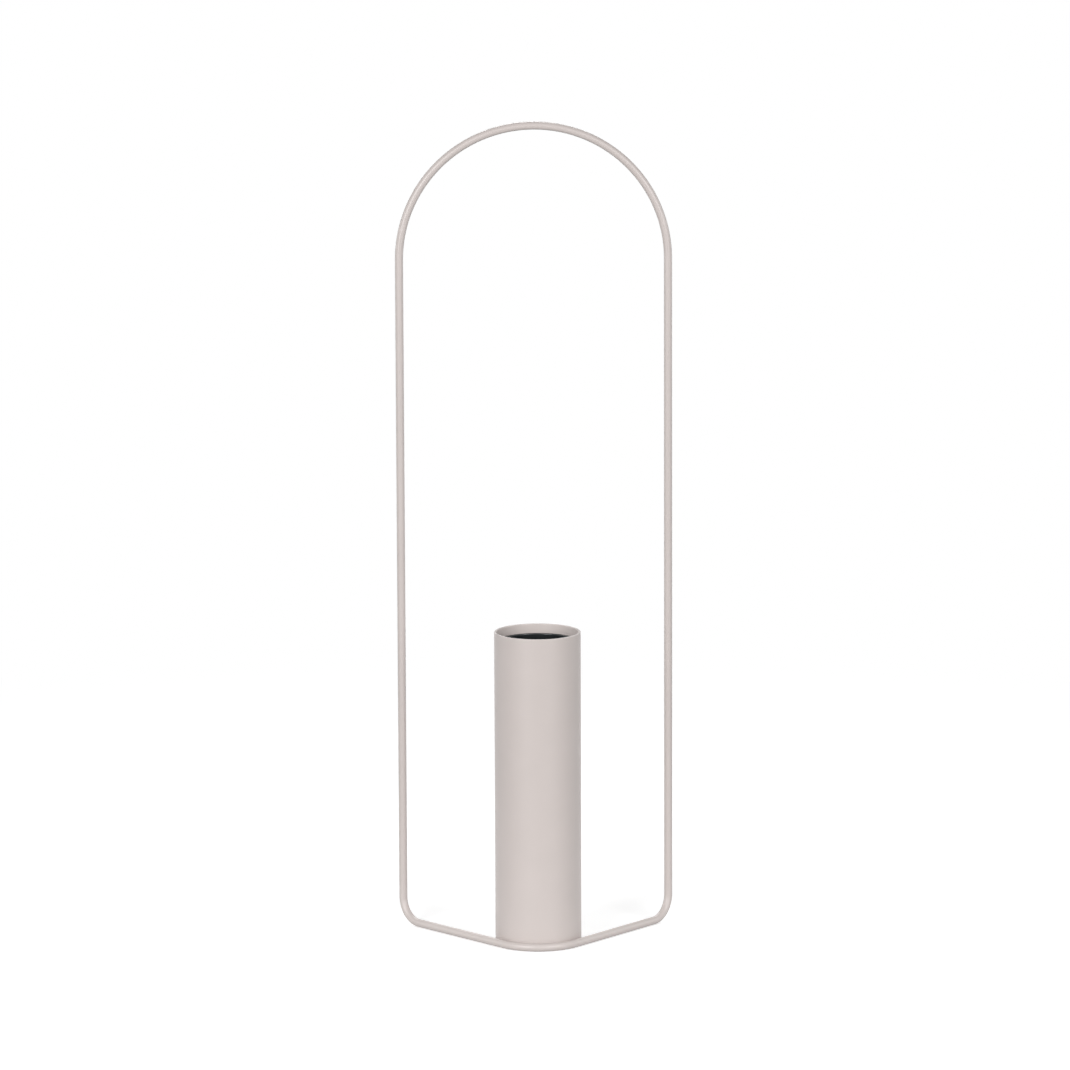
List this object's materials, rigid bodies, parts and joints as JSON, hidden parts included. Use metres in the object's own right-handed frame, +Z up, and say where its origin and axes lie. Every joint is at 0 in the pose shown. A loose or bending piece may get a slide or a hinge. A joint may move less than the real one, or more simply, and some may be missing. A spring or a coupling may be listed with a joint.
{
  "type": "test tube vase",
  "caption": "Slim stem vase: an upright round metal sleeve with a lift-out tube liner, welded into the pointed foot of a tall arched loop of bent round wire.",
  "frame": {"origin": "on the axis of the sleeve, in the plane of the table that the foot stands on", "axes": "+Z up along the sleeve, the nose of the foot points to -Y, the legs and the arch stand at +Y, +X to the right seen from the front"},
  "size_m": [0.17, 0.0846, 0.5014],
  "materials": {
    "powder_coat": "satin",
    "liner_plastic": "gloss"
  },
  "bodies": {
    "stand": {"wire_frame": "powder_coat", "sleeve": "powder_coat", "base_disc": "powder_coat", "ring_weld": "powder_coat", "stitch_welds": "powder_coat"},
    "liner": {"liner": "liner_plastic"}
  },
  "joints": [
    {"name": "liner_lift", "type": "slide", "parent": "stand", "child": "liner", "axis": [0, 0, 1], "range_m": [0, 0.2]}
  ]
}
